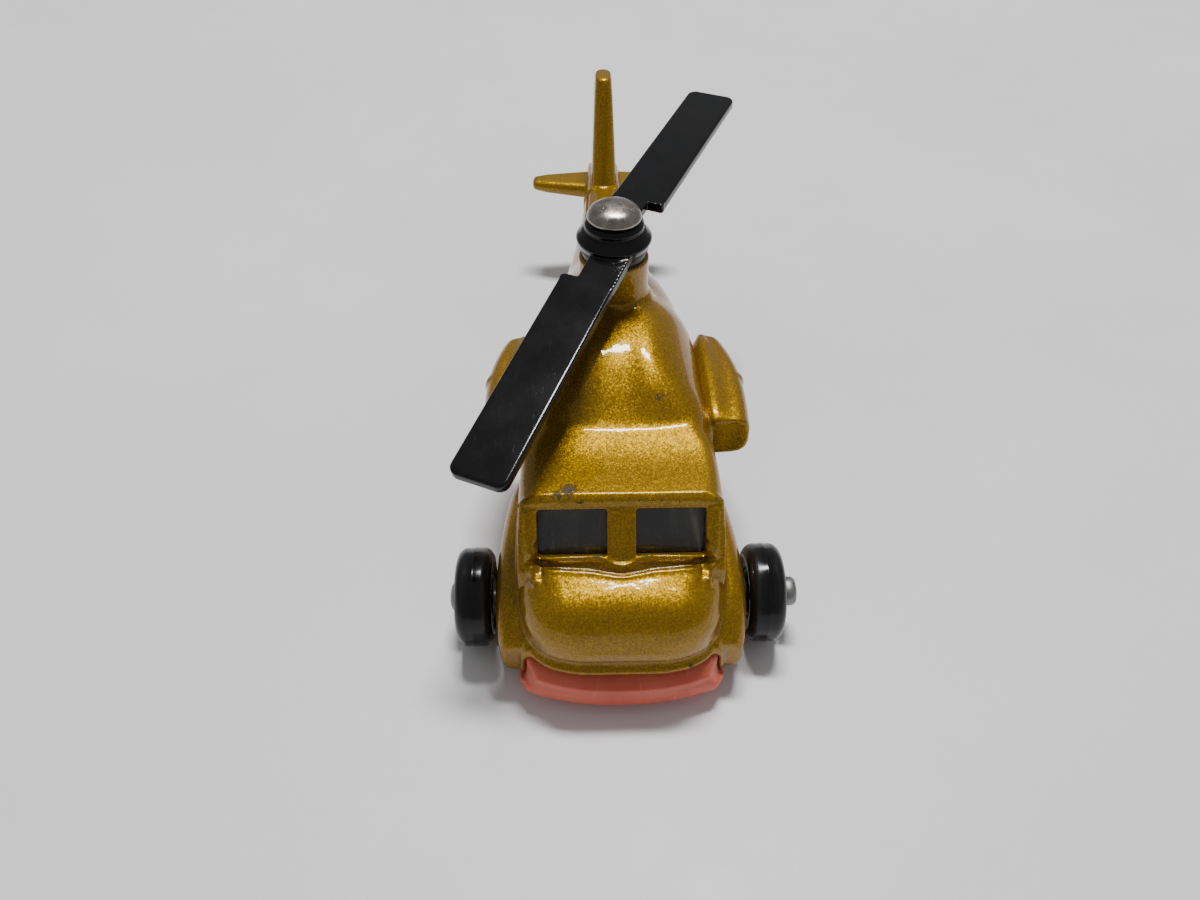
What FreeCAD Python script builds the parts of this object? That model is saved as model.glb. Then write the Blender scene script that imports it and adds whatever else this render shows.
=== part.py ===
"""Die-cast toy helicopter on wheels: the parametric model, in millimetres.

The nose points along -Y, +Z is up and the floor is z = 0.  The origin is on the floor, under the
middle of the overall length.
"""
import FreeCAD, Part
import math
import os

import Sketcher

Vector = FreeCAD.Vector
Rotation = FreeCAD.Rotation
Placement = FreeCAD.Placement

# Driving dimensions, in millimetres (angles in degrees).
DIMENSIONS = {
    "wall": 1.1,                    # die-cast wall
    "glass_gap": 0.15,              # glazing to casting
    "glass_wall": 0.7,
    "seam_gap": 0.05,               # casting to base plate
    "turning_gap": 0.07,            # radial clearance of every turning fit
    "screen_rake": 58.0,            # windscreen slope, from the horizontal
    "brow_y": -27.6,                # front edge of the roof, over the windscreen
    "brow_z": 16.8,
    "pane_inner": 1.2,              # inner and outer side of a windscreen pane
    "pane_outer": 6.95,
    "pane_drop": 0.95,              # brow to top of pane, along the slope
    "pane_tall": 4.1,
    "pane_cut": 6.0,                # how deep the pane openings are cut
    "door_front": -24.8,            # cockpit side windows
    "door_long": 5.2,
    "door_sill": 11.9,
    "door_tall": 3.2,
    "mast_y": -4.9,                 # rotor axis
    "mast_radius": 1.15,
    "mast_socket": 20.6,            # bottom of the rivet's hole
    "boss_low": 17.0,
    "boss_radius": 2.3,
    "neck_low": 19.0,
    "neck_high": 25.3,
    "neck_radius": 3.25,
    "neck_bead_z": 20.95,
    "neck_bead_radius": 0.5,
    "nacelle_x": 9.9,               # engine pods beside the mast
    "knob_x": 11.85,
    "knob_y": -11.4,
    "knob_z": 15.2,
    "knob_radius": 0.9,
    "knob_proud": 0.5,
    "sponson_x": 8.5,               # bulges beside the front wheels
    "fin_root_z": 11.8,
    "fin_tip_z": 25.3,
    "tailplane_z": 11.7,
    "tailplane_span": 9.1,          # centre to tip
    "across": 24.0,                 # length of a cutter that goes right through the cabin
    "belly_front": -31.0,           # room under the cabin floor
    "belly_long": 27.0,
    "belly_half": 7.2,
    "belly_low": 1.0,
    "belly_tall": 6.0,
    "glazed_front": -31.0,          # zone that the glazing fills
    "glazed_long": 11.6,
    "glazed_half": 9.0,
    "glazed_low": 11.0,
    "glazed_tall": 6.0,
    "cabin_front": -27.0,           # cockpit moulding
    "cabin_long": 7.6,
    "cabin_half": 6.3,
    "cabin_low": 6.3,
    "floor_thick": 0.8,
    "dash_deep": 1.2,
    "dash_tall": 3.2,
    "seat_front": -25.0,
    "seat_deep": 4.0,
    "seat_tall": 1.6,
    "seat_back_y": -21.2,
    "seat_back_thick": 1.0,
    "seat_back_tall": 6.0,
    "post_radius": 1.5,             # casting posts, spun over under the base
    "post_head_radius": 2.2,
    "post_head_tall": 0.4,
    "front_post_y": -17.5,
    "front_post_top": 17.5,
    "rear_post_y": -1.0,
    "rear_post_top": 19.8,
    "base_low": 1.3,
    "panel_low": 1.2,               # plain flat panel under the base
    "panel_front": -31.0,
    "panel_long": 25.0,
    "panel_half": 5.5,
    "panel_high": 2.2,
    "axle_y": -28.0,
    "axle_z": 4.4,
    "axle_radius": 0.65,
    "axle_left_x": -15.2,
    "axle_right_x": 16.0,
    "axle_head_radius": 1.35,
    "axle_head_long": 0.75,
    "axle_head_rim": 0.35,
    "wheel_x": 12.85,               # middle of each front wheel
    "wheel_radius": 4.4,
    "wheel_wide": 3.2,
    "wheel_shoulder": 1.0,
    "wheel_dish": 0.5,              # recess in the outer face
    "wheel_dish_radius": 3.1,
    "tail_y": 13.0,                 # tail wheel
    "tail_radius": 2.3,
    "tail_wide": 2.2,
    "tail_shoulder": 0.4,
    "tail_pin_radius": 0.45,
    "ear_x": 1.35,                  # lugs each side of the tail wheel
    "ear_thick": 0.95,
    "ear_half_long": 1.5,
    "ear_low": 1.3,
    "ear_high": 5.1,
    "tail_room": 0.5,               # clearance round the tail wheel
    "hub_low": 25.4,
    "hub_step": 26.2,
    "hub_widest": 27.2,
    "hub_high": 29.0,
    "hub_ring_radius": 2.95,
    "hub_flange_radius": 3.25,
    "hub_radius": 3.37,
    "hub_top_radius": 2.45,
    "blade_turn": 24.5,             # blades from the centreline, at rest
    "blade_droop_front": 12.5,      # the front blade is bent down, the rear one slightly up
    "blade_droop_rear": -3.5,
    "blade_tip": 27.9,              # mast axis to blade tip
    "blade_half": 2.55,
    "blade_thick": 0.95,
    "blade_z": 27.1,                # middle of the blade at the mast
    "blade_corner": 0.9,
    "notch_start": 5.8,             # where the full blade width begins
    "notch_deep": 1.55,
    "rivet_radius": 2.5,
    "rivet_rim": 0.45,
    "rivet_crown": 0.95,
    "rivet_gap": 0.1,               # end play of the rotor under the rivet
    "seat_half": 2.3,
    "seat_x": 3.4,
}

# Lines of the hull.  Each station has its place along Y, half width at the top and at the foot of
# its sides, lowest and highest z, and the radii of its upper and lower corners.
STATION_FIELDS = ("y", "half", "foot", "low", "high", "upper", "lower")
CABIN = {
    "screen": (-31.0, 8.45, 9.20, 2.5, 16.2, 1.3, 0.9),
    "roof": (-25.0, 8.50, 9.60, 2.4, 17.0, 1.4, 0.9),
    "step": (-20.0, 8.35, 9.40, 2.4, 17.4, 2.2, 0.9),
    "dome": (-14.5, 8.00, 8.90, 2.4, 19.85, 6.0, 0.9),
    "crown": (-6.0, 7.20, 7.80, 2.4, 21.05, 5.8, 0.9),
    "shoulder": (1.0, 6.00, 6.40, 2.6, 19.9, 5.0, 1.0),
    "waist": (8.0, 4.80, 4.80, 4.0, 17.0, 3.8, 1.6),
}
BOOM = {
    "waist": CABIN["waist"],
    "boom": (20.0, 3.20, 3.20, 7.3, 14.7, 2.5, 2.2),
    "tail_end": (36.3, 1.80, 1.80, 10.2, 13.4, 1.3, 1.3),
}
NOSE = {
    "nose_tip": (-36.6, 3.60, 3.60, 5.0, 7.7, 1.0, 0.6),
    "nose_front": (-36.1, 5.70, 5.70, 4.7, 9.2, 1.9, 0.6),
    "nose_bulge": (-34.9, 7.40, 7.40, 4.5, 10.9, 3.0, 0.6),
    "nose_crest": (-33.0, 8.40, 8.40, 4.2, 11.7, 3.6, 0.6),
    "nose_back": (-30.6, 8.80, 8.80, 3.9, 12.1, 3.6, 0.6),
    "nose_root": (-27.6, 8.80, 8.80, 3.6, 12.4, 3.6, 0.6),
}
SKIRT = {
    "skirt_front": (-34.9, 8.60, 8.70, 2.6, 6.2, 1.6, 0.6),
    "skirt_middle": (-32.6, 8.90, 9.20, 2.4, 7.8, 1.8, 0.8),
    "skirt_back": (-24.0, 8.90, 9.30, 2.4, 9.0, 1.8, 0.8),
}
SPONSON = {
    "sponson_front": (-34.4, 1.80, 1.80, 2.4, 5.6, 1.2, 1.2),
    "sponson_bow": (-33.0, 2.15, 2.15, 2.1, 7.4, 1.6, 1.4),
    "sponson_middle": (-27.0, 2.25, 2.25, 2.1, 9.6, 1.9, 1.4),
    "sponson_aft": (-21.0, 1.70, 1.70, 2.4, 9.2, 1.4, 1.2),
    "sponson_end": (-16.5, 0.80, 0.80, 2.9, 8.0, 0.6, 0.6),
}
BASE = {
    "base_bow": (-37.25, 7.60, 7.60, 1.5, 2.7, 0.5, 0.5),
    "base_front": (-36.2, 8.25, 8.25, 1.35, 2.35, 0.4, 0.5),
    "base_middle": (-24.0, 8.40, 8.40, 1.3, 2.35, 0.3, 0.6),
    "base_rear": (-4.0, 7.00, 7.00, 1.3, 2.35, 0.3, 0.6),
    "base_ramp": (3.0, 5.60, 5.60, 1.9, 2.95, 0.3, 0.6),
    "base_end": (16.5, 3.30, 3.30, 5.3, 6.35, 0.3, 0.6),
}
PROW = {
    "prow_tip": (-37.15, 7.45, 7.45, 1.9, 3.6, 0.5, 0.5),
    "prow_middle": (-36.0, 7.95, 7.95, 1.7, 4.35, 0.5, 0.5),
    "prow_back": (-31.2, 8.00, 8.00, 1.7, 4.35, 0.5, 0.5),
}
NACELLE = {
    "nacelle_front": (-18.0, 2.10, 2.10, 12.3, 16.4, 1.3, 1.3),
    "nacelle_middle": (-11.0, 2.20, 2.20, 12.2, 16.6, 1.4, 1.4),
    "nacelle_rear": (-5.3, 1.85, 1.85, 12.8, 16.2, 1.3, 1.3),
}
# Fin and tailplane sections: leading edge, half thickness, trailing edge.
SURFACE_FIELDS = ("leading", "half", "trailing")
SURFACES = {
    "fin_root": (27.5, 1.45, 37.0),
    "fin_tip": (33.6, 1.00, 37.2),
    "tailplane_root": (30.2, 0.85, 35.2),
    "tailplane_tip": (32.4, 0.50, 34.4),
}
HOLLOW_STATIONS = ("screen", "roof", "step", "dome", "crown", "shoulder", "waist")
GLAZED_STATIONS = ("screen", "roof", "step", "dome")

ACROSS = Rotation(Vector(1, 0, 0), 90)      # sketch plane across the length: u is X, v is Z
FLAT = Rotation()                           # level sketch plane: u is X, v is Y
SPANWISE = Rotation(Vector(0, 1, 0), -90)   # sketch plane across the span: u is Z, v is Y
ALONG_X = Rotation(Vector(0, 1, 0), 90)     # turns a cylinder's axis from Z to X

doc = FreeCAD.newDocument("toy_helicopter")
sheet = doc.addObject("Spreadsheet::Sheet", "Sizes")


# ---- the sheet and its expressions -------------------------------------------------------------

def fill_sheet():
    """Writes every driving dimension into the sheet, each under its own alias."""
    values = dict(DIMENSIONS)
    tables = [(table, STATION_FIELDS) for table in (CABIN, BOOM, NOSE, SKIRT, SPONSON, BASE, PROW, NACELLE)]
    for table, fields in tables + [(SURFACES, SURFACE_FIELDS)]:
        for station, numbers in table.items():
            for field, value in zip(fields, numbers):
                values["%s_%s" % (station, field)] = value
    for row, (alias, value) in enumerate(values.items(), start=1):
        sheet.set("A%d" % row, alias)
        sheet.set("B%d" % row, "%g" % value)
        sheet.setAlias("B%d" % row, alias)
    doc.recompute()


def linked(expression):
    """Points each alias in an expression at the sheet: words are separated by spaces."""
    words = expression.split(" ")
    return " ".join("Sizes." + word if word[:1].isalpha() else word for word in words)


def number(expression):
    """The present value of a sum of aliases and numbers, for a sketch's first guess."""
    total, sign = 0.0, 1.0
    for word in expression.replace(" / 2", "/2").replace("2 * ", "2*").split(" "):
        if word in ("+", "-"):
            sign = 1.0 if word == "+" else -1.0
            continue
        name = word.replace("/2", "").replace("2*", "")
        value = float(sheet.get(name)) if name[:1].isalpha() else float(name)
        total += sign * value * (0.5 if word.endswith("/2") else 1) * (2 if word.startswith("2*") else 1)
    return total


def bind(item, prop, expression):
    item.setExpression(prop, linked(expression))


def place(item, origin, turn=FLAT):
    """Binds an object's origin to three expressions and gives it a fixed turn."""
    item.Placement = Placement(Vector(*[number(part) for part in origin]), turn)
    for axis, expression in zip("xyz", origin):
        bind(item, "Placement.Base." + axis, expression)


# ---- solids ------------------------------------------------------------------------------------

def new(kind, name, **properties):
    """A document object whose properties are expressions."""
    item = doc.addObject(kind, name)
    for prop, expression in properties.items():
        bind(item, prop, expression)
    return item


def box(name, origin, length, width, height, turn=FLAT):
    item = new("Part::Box", name, Length=length, Width=width, Height=height)
    place(item, origin, turn)
    return item


def cylinder(name, origin, radius, length, turn=FLAT):
    item = new("Part::Cylinder", name, Radius=radius, Height=length)
    place(item, origin, turn)
    return item


def ellipsoid(name, centre, along_x, along_y, along_z):
    item = new("Part::Ellipsoid", name, Radius1=along_z, Radius2=along_x, Radius3=along_y)
    place(item, centre)
    return item


def combined(kind, name, shapes):
    item = doc.addObject(kind, name)
    item.Shapes = shapes
    return item


def fuse(name, shapes):
    return combined("Part::MultiFuse", name, shapes)


def common(name, shapes):
    return combined("Part::MultiCommon", name, shapes)


def cut(name, base, tool):
    item = doc.addObject("Part::Cut", name)
    item.Base = base
    item.Tool = tool
    return item


def loft(name, sections):
    item = doc.addObject("Part::Loft", name)
    item.Sections = sections
    item.Solid = True
    item.Ruled = False
    return item


def rounded_rims(name, base, radius):
    """Rounds the circular edges of a cylinder."""
    doc.recompute()
    item = doc.addObject("Part::Fillet", name)
    item.Base = base
    value = number(radius)
    item.Edges = [(index, value, value) for index, edge in enumerate(base.Shape.Edges, start=1)
                  if edge.Curve.TypeId == "Part::GeomCircle"]
    return item


def line(start, end):
    return Part.LineSegment(Vector(*start, 0), Vector(*end, 0))


def corner(u, v, radius, quarter):
    """A quarter circle about (u, v), counted in quarters of a turn from the u axis."""
    circle = Part.Circle(Vector(u, v, 0), Vector(0, 0, 1), radius)
    return Part.ArcOfCircle(circle, quarter * math.pi / 2, (quarter + 1) * math.pi / 2)


def drive(sketch, label, expression, *definition):
    """Adds a constraint to a sketch and binds its value to an expression."""
    index = sketch.addConstraint(Sketcher.Constraint(*definition, number(expression)))
    sketch.renameConstraint(index, label)
    bind(sketch, "Constraints." + label, expression)


def rounded_section(name, turn, origin, half, low, high, upper, lower, foot=None):
    """A closed rounded section, symmetric about its v axis, as a constrained sketch.

    half is its half width at the top and foot the half width at the bottom, if that differs.
    """
    foot = foot or half
    w, wf, v0, v1 = number(half), number(foot), number(low), number(high)
    ru, rl = number(upper), number(lower)
    sketch = doc.addObject("Sketcher::SketchObject", name)
    sketch.addGeometry([
        line((rl - wf, v0), (wf - rl, v0)),
        corner(wf - rl, v0 + rl, rl, 3),
        line((wf, v0 + rl), (w, v1 - ru)),
        corner(w - ru, v1 - ru, ru, 0),
        line((w - ru, v1), (ru - w, v1)),
        corner(ru - w, v1 - ru, ru, 1),
        line((-w, v1 - ru), (-wf, v0 + rl)),
        corner(rl - wf, v0 + rl, rl, 2),
    ], False)
    bottom, right, top, left = 0, 2, 4, 6
    start, end, origin_point = 1, 2, (-1, 1)
    for index in range(8):
        sketch.addConstraint(Sketcher.Constraint("Tangent", index, end, (index + 1) % 8, start))
    for index in (bottom, top):
        sketch.addConstraint(Sketcher.Constraint("Horizontal", index))
    sketch.addConstraint(Sketcher.Constraint("Equal", 3, 5))
    sketch.addConstraint(Sketcher.Constraint("Equal", 1, 7))
    drive(sketch, "right_foot", foot, "DistanceX", *origin_point, right, start)
    drive(sketch, "right_top", half, "DistanceX", *origin_point, right, end)
    drive(sketch, "left_foot", foot, "DistanceX", left, end, *origin_point)
    drive(sketch, "left_top", half, "DistanceX", left, start, *origin_point)
    drive(sketch, "low", low, "DistanceY", *origin_point, bottom, start)
    drive(sketch, "high", high, "DistanceY", *origin_point, top, start)
    drive(sketch, "upper", upper, "Radius", 3)
    drive(sketch, "lower", lower, "Radius", 1)
    place(sketch, origin, turn)
    return sketch


def hull_loft(name, stations, centre="0"):
    """The outside of a hull through the named stations."""
    return loft(name, [rounded_section(
        "%s_%s" % (name, station), ACROSS, (centre, station + "_y", "0"),
        station + "_half", station + "_low", station + "_high",
        station + "_upper", station + "_lower", station + "_foot") for station in stations])


def inner_loft(name, stations, inset):
    """A hull drawn in by an inset, which may be a sum, and carried on below."""
    less = " - " + inset.replace("+", "-")
    return loft(name, [rounded_section(
        "%s_%s" % (name, station), ACROSS, ("0", station + "_y", "0"),
        station + "_half" + less, station + "_low - 1", station + "_high" + less,
        station + "_upper - wall", "0.3", station + "_foot" + less) for station in stations])


def grown_loft(name, stations, grow):
    """The outside of a hull, drawn out by grow."""
    return loft(name, [rounded_section(
        "%s_%s" % (name, station), ACROSS, ("0", station + "_y", "0"),
        "%s_half + %s" % (station, grow), "%s_low - %s" % (station, grow),
        "%s_high + %s" % (station, grow), station + "_upper", station + "_lower",
        "%s_foot + %s" % (station, grow)) for station in stations])


def on_screen(item, across, along, inward):
    """Places a box in the windscreen's plane, from the brow: across, up along it and inward."""
    sine = "sin( Sizes.screen_rake * 1 deg )"
    cosine = "cos( Sizes.screen_rake * 1 deg )"
    item.Placement = Placement(Vector(), Rotation(Vector(1, 0, 0), number("screen_rake")))
    item.setExpression("Placement.Rotation.Angle", "Sizes.screen_rake * 1 deg")
    item.setExpression("Placement.Base.x", linked(across))
    item.setExpression("Placement.Base.y", "Sizes.brow_y + (%s) * %s + (%s) * %s"
                       % (linked(along), cosine, linked(inward), sine))
    item.setExpression("Placement.Base.z", "Sizes.brow_z + (%s) * %s - (%s) * %s"
                       % (linked(along), sine, linked(inward), cosine))
    return item


def raked(name, block, inset):
    """Cuts a block off along the windscreen's plane, moved inward by inset."""
    cutter = new("Part::Box", name + "_plane", Length="40", Width="26", Height="20")
    on_screen(cutter, "-20", "-16", inset)
    return cut(name, block, cutter)


# ---- the pieces --------------------------------------------------------------------------------

def make_tail_surfaces():
    """Fin and the two halves of the tailplane, lofted between rounded sections."""
    fin_sections = [rounded_section(
        "fin_" + end, FLAT, ("0", "0", "fin_%s_z" % end), "fin_%s_half" % end,
        "fin_%s_leading" % end, "fin_%s_trailing" % end,
        "fin_%s_half - 0.1" % end, "fin_%s_half - 0.1" % end) for end in ("root", "tip")]
    surfaces = [loft("fin", fin_sections)]
    for side, tip_x in (("right", "0 + tailplane_span"), ("left", "0 - tailplane_span")):
        sections = [rounded_section(
            "tailplane_%s_%s" % (side, end), SPANWISE, (reach, "0", "tailplane_z"),
            "tailplane_%s_half" % end, "tailplane_%s_leading" % end, "tailplane_%s_trailing" % end,
            "tailplane_%s_half - 0.08" % end, "tailplane_%s_half - 0.08" % end)
            for end, reach in (("root", "0"), ("tip", tip_x))]
        surfaces.append(loft("tailplane_" + side, sections))
    return surfaces


def make_side_fittings():
    """Engine nacelle with its knob, and the bulge beside the wheel, on each side."""
    fittings = []
    for side, sign in (("right", "0 + "), ("left", "0 - ")):
        fittings.append(hull_loft("nacelle_" + side, NACELLE, sign + "nacelle_x"))
        fittings.append(ellipsoid("knob_" + side, (sign + "knob_x", "knob_y", "knob_z"),
                                  "knob_proud", "knob_radius", "knob_radius"))
        fittings.append(hull_loft("sponson_" + side, SPONSON, sign + "sponson_x"))
    return fittings


def make_neck():
    """The mast fairing, with the bead round its foot."""
    bead = new("Part::Torus", "neck_bead", Radius1="neck_radius", Radius2="neck_bead_radius")
    place(bead, ("0", "mast_y", "neck_bead_z"))
    return [cylinder("neck", ("0", "mast_y", "neck_low"), "neck_radius", "neck_high - neck_low"), bead]


def make_casting():
    """The painted die-cast shell, hollow inside and open underneath."""
    hulls = [raked("cabin", hull_loft("cabin_lines", CABIN), "0"), hull_loft("boom", BOOM),
             hull_loft("nose", NOSE), hull_loft("skirt", SKIRT)]
    outside = fuse("casting_outside",
                   hulls + make_tail_surfaces() + make_side_fittings() + make_neck())
    hollow = fuse("casting_hollow", [
        raked("cabin_hollow", inner_loft("hollow_lines", HOLLOW_STATIONS, "wall"), "wall"),
        inner_loft("nose_hollow", ("nose_crest", "nose_back", "nose_root"), "wall"),
        box("belly_hollow", ("0 - belly_half", "belly_front", "belly_low"), "belly_half + belly_half",
            "belly_long", "belly_tall"),
        grown_loft("base_seat", BASE, "seam_gap"), grown_loft("prow_seat", PROW, "seam_gap")])
    shell = cut("casting_shell", outside, hollow)

    inner = [shell, cylinder("mast_boss", ("0", "mast_y", "boss_low"), "boss_radius",
                             "neck_low + 1 - boss_low")]
    for end in ("front", "rear"):
        inner.append(cylinder(end + "_post", ("0", end + "_post_y", "base_low"), "post_radius",
                              end + "_post_top - base_low"))
        inner.append(cylinder(end + "_post_head", ("0", end + "_post_y", "base_low - post_head_tall"),
                              "post_head_radius", "post_head_tall"))
    panes = []
    for side, across in (("right", "pane_inner"), ("left", "0 - pane_outer")):
        pane = new("Part::Box", "pane_" + side, Length="pane_outer - pane_inner",
                   Width="pane_tall", Height="pane_cut")
        panes.append(on_screen(pane, across, "0 - pane_drop - pane_tall", "pane_cut / 2"))
    openings = fuse("casting_openings", panes + [
        box("door_windows", ("0 - across / 2", "door_front", "door_sill"), "across", "door_long",
            "door_tall"),
        cylinder("axle_hole", ("0 - across / 2", "axle_y", "axle_z"), "axle_radius + turning_gap",
                 "across", ALONG_X),
        cylinder("mast_hole", ("0", "mast_y", "mast_socket"), "mast_radius",
                 "neck_high + 1 - mast_socket")])
    return cut("body_casting", fuse("casting_solid", inner), openings)


def make_base():
    """The plastic base with its prow, and the lugs that carry the tail wheel."""
    solids = [hull_loft("base_tray", BASE), hull_loft("base_prow", PROW),
              box("base_panel", ("0 - panel_half", "panel_front", "panel_low"), "panel_half + panel_half",
                  "panel_long", "panel_high - panel_low")]
    for side, low_x in (("right", "ear_x"), ("left", "0 - ear_x - ear_thick")):
        solids.append(box("ear_" + side, (low_x, "tail_y - ear_half_long", "ear_low"), "ear_thick",
                          "ear_half_long + ear_half_long", "ear_high - ear_low"))
    holes = [cylinder("tail_wheel_room", ("0 - ear_x", "tail_y", "tail_radius"), "tail_radius + tail_room",
                      "ear_x + ear_x", ALONG_X),
             cylinder("pin_hole", ("0 - ear_x - ear_thick - 1", "tail_y", "tail_radius"), "tail_pin_radius",
                      "2 * ear_x + 2 * ear_thick + 2", ALONG_X)]
    for end in ("front", "rear"):
        holes.append(cylinder(end + "_post_hole", ("0", end + "_post_y", "0"), "post_radius",
                              "panel_high + 6"))
        holes.append(cylinder(end + "_head_room", ("0", end + "_post_y", "0"), "post_head_radius",
                              "base_low"))
    return cut("base_plate", fuse("base_solid", solids), fuse("base_holes", holes))


def make_glazing():
    """The clear moulding behind the windscreen and side windows."""
    outer_inset, inner_inset = "wall + glass_gap", "wall + glass_gap + glass_wall"
    shell = cut("glazing_shell",
                raked("glazing_outer", inner_loft("glazing_outer_lines", GLAZED_STATIONS, outer_inset),
                      outer_inset),
                raked("glazing_inner", inner_loft("glazing_inner_lines", GLAZED_STATIONS, inner_inset),
                      inner_inset))
    zone = box("glazing_zone", ("0 - glazed_half", "glazed_front", "glazed_low"),
               "glazed_half + glazed_half", "glazed_long", "glazed_tall")
    return common("window_glazing", [shell, zone])


def make_interior():
    """The cockpit moulding: floor, dashboard and two seats."""
    floor_top = "cabin_low + floor_thick"
    solids = [box("cockpit_floor", ("0 - cabin_half", "cabin_front", "cabin_low"),
                  "cabin_half + cabin_half", "cabin_long", "floor_thick"),
              box("dashboard", ("0 - cabin_half", "cabin_front", floor_top),
                  "cabin_half + cabin_half", "dash_deep", "dash_tall")]
    for side, middle in (("right", "seat_x"), ("left", "0 - seat_x")):
        low_x = middle + " - seat_half"
        solids.append(box("seat_" + side, (low_x, "seat_front", floor_top), "seat_half + seat_half",
                          "seat_deep", "seat_tall"))
        solids.append(box("seat_back_" + side, (low_x, "seat_back_y", floor_top),
                          "seat_half + seat_half", "seat_back_thick", "seat_back_tall"))
    return fuse("cabin_interior", solids)


def make_front_wheel(side):
    """A plain plastic wheel with rounded shoulders and a dished outer face."""
    name = side + "_wheel"
    middle = "0 + wheel_x" if side == "right" else "0 - wheel_x"
    low_x = middle + " - wheel_wide / 2"
    tyre = cylinder(name + "_tyre", (low_x, "axle_y", "axle_z"), "wheel_radius", "wheel_wide", ALONG_X)
    dish_x = middle + " + wheel_wide / 2 - wheel_dish" if side == "right" else low_x
    dish = cylinder(name + "_dish", (dish_x, "axle_y", "axle_z"), "wheel_dish_radius", "wheel_dish",
                    ALONG_X)
    bore = cylinder(name + "_bore", (low_x + " - 1", "axle_y", "axle_z"), "axle_radius + turning_gap",
                    "wheel_wide + 2", ALONG_X)
    cutters = fuse(name + "_cutters", [dish, bore])
    return cut(name, rounded_rims(name + "_rounded", tyre, "wheel_shoulder"), cutters)


def make_front_axle():
    """The steel wire axle, with a swaged head outside each wheel."""
    solids = [cylinder("axle_rod", ("axle_left_x", "axle_y", "axle_z"), "axle_radius",
                       "axle_right_x - axle_left_x", ALONG_X)]
    for side, low_x in (("right", "axle_right_x - axle_head_long"), ("left", "axle_left_x")):
        head = cylinder("axle_head_" + side, (low_x, "axle_y", "axle_z"), "axle_head_radius",
                        "axle_head_long", ALONG_X)
        solids.append(rounded_rims("axle_head_rounded_" + side, head, "axle_head_rim"))
    return fuse("front_axle", solids)


def make_tail_wheel():
    tyre = cylinder("tail_tyre", ("0 - tail_wide / 2", "tail_y", "tail_radius"), "tail_radius",
                    "tail_wide", ALONG_X)
    bore = cylinder("tail_bore", ("0 - tail_wide / 2 - 1", "tail_y", "tail_radius"),
                    "tail_pin_radius + turning_gap", "tail_wide + 2", ALONG_X)
    return cut("tail_wheel", rounded_rims("tail_rounded", tyre, "tail_shoulder"), bore)


def make_tail_pin():
    return cylinder("tail_wheel_pin", ("0 - ear_x - ear_thick", "tail_y", "tail_radius"),
                    "tail_pin_radius", "2 * ear_x + 2 * ear_thick", ALONG_X)


def make_rotor():
    """Hub and two blades in one moulding, free to turn on the rivet."""
    solids = []
    for name, low, high, foot_radius, top_radius in (
            ("hub_ring", "hub_low", "hub_step", "hub_ring_radius", "hub_ring_radius"),
            ("hub_flange", "hub_step", "hub_widest", "hub_flange_radius", "hub_radius"),
            ("hub_crown", "hub_widest", "hub_high", "hub_radius", "hub_top_radius")):
        if foot_radius == top_radius:
            tier = new("Part::Cylinder", name, Radius=foot_radius, Height="%s - %s" % (high, low))
        else:
            tier = new("Part::Cone", name, Radius1=foot_radius, Radius2=top_radius,
                       Height="%s - %s" % (high, low))
        place(tier, ("0", "mast_y", low))
        solids.append(tier)
    for end, yaw in (("rear", "0 - blade_turn"), ("front", "180 - blade_turn")):
        plan = rounded_section("blade_plan_" + end, FLAT, ("0", "0", "0"), "blade_half", "notch_start",
                               "blade_tip", "blade_corner", "0.3")
        paddle = doc.addObject("Part::Extrusion", "blade_paddle_" + end)
        paddle.Base = plan
        paddle.DirMode = "Normal"
        paddle.Solid = True
        bind(paddle, "LengthFwd", "blade_thick")
        root = box("blade_root_" + end, ("0 - blade_half", "0.5", "0"),
                   "blade_half + blade_half - notch_deep", "notch_start + 0.5", "blade_thick")
        blade = fuse("blade_" + end, [paddle, root])
        droop = "blade_droop_" + end
        blade.Placement = Placement(Vector(), Rotation(number(yaw), 0, -number(droop)))
        blade.setExpression("Placement.Rotation.Yaw", "(%s) * 1 deg" % linked(yaw))
        blade.setExpression("Placement.Rotation.Roll", "-Sizes.%s * 1 deg" % droop)
        bind(blade, "Placement.Base.y", "mast_y")
        bind(blade, "Placement.Base.z", "blade_z - blade_thick / 2")
        solids.append(blade)
    bore = cylinder("hub_bore", ("0", "mast_y", "hub_low - 1"), "mast_radius + turning_gap",
                    "hub_high - hub_low + 2")
    return cut("rotor", fuse("rotor_solid", solids), bore)


def make_rivet():
    """The nickel rivet that holds the rotor on its neck."""
    under = "hub_high + rivet_gap"
    shank = cylinder("rivet_shank", ("0", "mast_y", "mast_socket"), "mast_radius",
                     under + " + 0.2 - mast_socket")
    rim = cylinder("rivet_rim_disc", ("0", "mast_y", under), "rivet_radius", "rivet_rim")
    crown_z = under + " + rivet_rim"
    crown = ellipsoid("rivet_dome", ("0", "mast_y", crown_z), "rivet_radius", "rivet_radius",
                      "rivet_crown")
    keep = box("rivet_keep", ("-4", "mast_y - 4", crown_z), "8", "8", "3")
    return fuse("rotor_rivet", [shank, rim, common("rivet_crown_half", [crown, keep])])


def main():
    fill_sheet()
    pieces = [make_casting(), make_base(), make_glazing(), make_interior(), make_rotor(), make_rivet(),
              make_front_axle(), make_front_wheel("left"), make_front_wheel("right"),
              make_tail_wheel(), make_tail_pin()]
    doc.recompute()
    for item in doc.Objects:
        if "Invalid" in item.State or "Error" in item.State:
            raise RuntimeError("%s failed: %s" % (item.Name, item.State))
    os.makedirs("parts", exist_ok=True)
    for piece in pieces:
        shape = piece.Shape
        if shape.isNull() or not shape.isValid() or not shape.Solids:
            raise RuntimeError("%s has no valid solid" % piece.Label)
        shape.exportStep("parts/%s.step" % piece.Label)
        print("%-16s %d solid(s) %9.2f mm3" % (piece.Label, len(shape.Solids), shape.Volume))


main()
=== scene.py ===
import math
import bmesh
import bpy
import numpy as np
from mathutils import Matrix, Vector


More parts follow.
